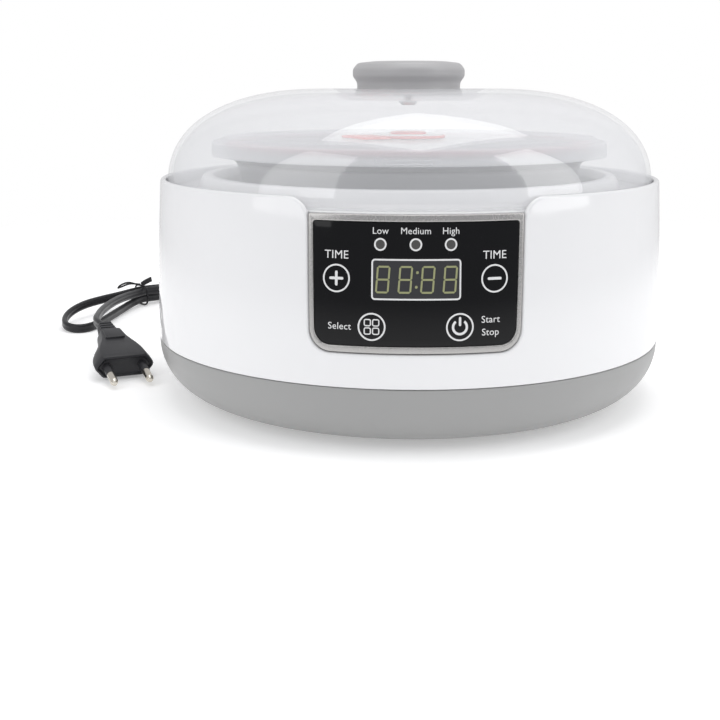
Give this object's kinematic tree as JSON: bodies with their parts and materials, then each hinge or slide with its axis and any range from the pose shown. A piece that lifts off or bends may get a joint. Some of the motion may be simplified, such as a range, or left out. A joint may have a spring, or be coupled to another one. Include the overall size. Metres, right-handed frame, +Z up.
{
  "type": "yogurt maker",
  "caption": "Round countertop yogurt maker with a milky domed cover, black control panel, removable steel pot with sealing lid, glass jars and a mains lead.",
  "frame": {"origin": "on the table, under the centre of the round body", "axes": "+Z up, the control panel faces -Y, +X is the machine's right as seen from the front"},
  "size_m": [0.3355, 0.3909, 0.156],
  "materials": {
    "base_grey": "satin moulded ABS",
    "shell_white": "gloss moulded ABS",
    "chamber_white": "semi-gloss moulded plastic",
    "aluminium_plate": "satin",
    "heater_ceramic": "matt ceramic",
    "board_green": "solder mask",
    "component_plastic": "moulded",
    "bezel_silver": "satin silver paint",
    "lens_black": "high gloss with white print",
    "led_clear": "clear epoxy",
    "foam_black": "conductive foam",
    "dome_clear": "milky clear polypropylene",
    "knob_grey": "satin moulded ABS",
    "screw_steel": "zinc plated",
    "pot_steel": "polished and circular brushed",
    "lid_clear": "milky polypropylene",
    "gasket_pink": "silicone",
    "ring_white": "gloss",
    "valve_red": "silicone",
    "jar_glass": "clear",
    "cord_black": "satin PVC",
    "pin_nickel": "nickel plate",
    "foot_rubber": "matt"
  },
  "bodies": {
    "machine": {"base_shell": "base_grey", "outer_shell": "shell_white", "inner_chamber": "chamber_white", "warming_plate": "aluminium_plate", "ptc_heater": "heater_ceramic", "temperature_sensor": "aluminium_plate", "thermal_fuse": "heater_ceramic", "power_board": "board_green", "transformer": "component_plastic", "heater_relay": "component_plastic", "filter_capacitor": "component_plastic", "mains_terminal": "component_plastic", "panel_bezel": "bezel_silver", "panel_lens": "lens_black", "control_board": "board_green", "display_module": "component_plastic", "indicator_led_1": "led_clear", "indicator_led_2": "led_clear", "indicator_led_3": "led_clear", "key_foam_plus": "foam_black", "key_foam_minus": "foam_black", "key_foam_mode": "foam_black", "key_foam_power": "foam_black", "cord_relief": "cord_black", "cord_lead": "cord_black", "cord_hank": "cord_black", "cord_loop": "cord_black", "cord_tail": "cord_black", "cord_tie": "cord_black", "plug_body": "cord_black", "plug_pin_1": "pin_nickel", "plug_pin_2": "pin_nickel", "base_screw_1": "screw_steel", "rubber_foot_1": "foot_rubber", "base_screw_2": "screw_steel", "rubber_foot_2": "foot_rubber", "base_screw_3": "screw_steel", "rubber_foot_3": "foot_rubber", "base_screw_4": "screw_steel", "rubber_foot_4": "foot_rubber"},
    "pot": {"inner_pot": "pot_steel"},
    "lid": {"pot_lid": "lid_clear", "lid_gasket": "gasket_pink"},
    "valve": {"vent_valve": "valve_red", "valve_ring": "ring_white"},
    "dome": {"dome_cover": "dome_clear", "dome_knob": "knob_grey", "knob_screw": "screw_steel"},
    "jar_1": {"glass_jar_1": "jar_glass"},
    "jar_2": {"glass_jar_2": "jar_glass"},
    "jar_3": {"glass_jar_3": "jar_glass"},
    "jar_4": {"glass_jar_4": "jar_glass"},
    "jar_5": {"glass_jar_5": "jar_glass"}
  },
  "joints": [
    {"name": "pot_lift", "type": "slide", "parent": "machine", "child": "pot", "axis": [0, 0, 1], "range_m": [0, 0.1]},
    {"name": "jar_1_lift", "type": "slide", "parent": "pot", "child": "jar_1", "axis": [0, 0, 1], "range_m": [0, 0.09]},
    {"name": "lid_lift", "type": "slide", "parent": "jar_1", "child": "lid", "axis": [0, 0, 1], "range_m": [0, 0.05]},
    {"name": "valve_pull", "type": "slide", "parent": "lid", "child": "valve", "axis": [0, 0, 1], "range_m": [0, 0.005]},
    {"name": "dome_lift", "type": "slide", "parent": "lid", "child": "dome", "axis": [0, 0, 1], "range_m": [0, 0.12]},
    {"name": "jar_2_lift", "type": "slide", "parent": "pot", "child": "jar_2", "axis": [0, 0, 1], "range_m": [0, 0.09]},
    {"name": "jar_3_lift", "type": "slide", "parent": "pot", "child": "jar_3", "axis": [0, 0, 1], "range_m": [0, 0.09]},
    {"name": "jar_4_lift", "type": "slide", "parent": "pot", "child": "jar_4", "axis": [0, 0, 1], "range_m": [0, 0.09]},
    {"name": "jar_5_lift", "type": "slide", "parent": "pot", "child": "jar_5", "axis": [0, 0, 1], "range_m": [0, 0.09]}
  ],
  "couplings": [
    {"joint": "jar_2_lift", "follows": "jar_1_lift", "ratio": 1},
    {"joint": "jar_3_lift", "follows": "jar_1_lift", "ratio": 1},
    {"joint": "jar_4_lift", "follows": "jar_1_lift", "ratio": 1},
    {"joint": "jar_5_lift", "follows": "jar_1_lift", "ratio": 1}
  ]
}
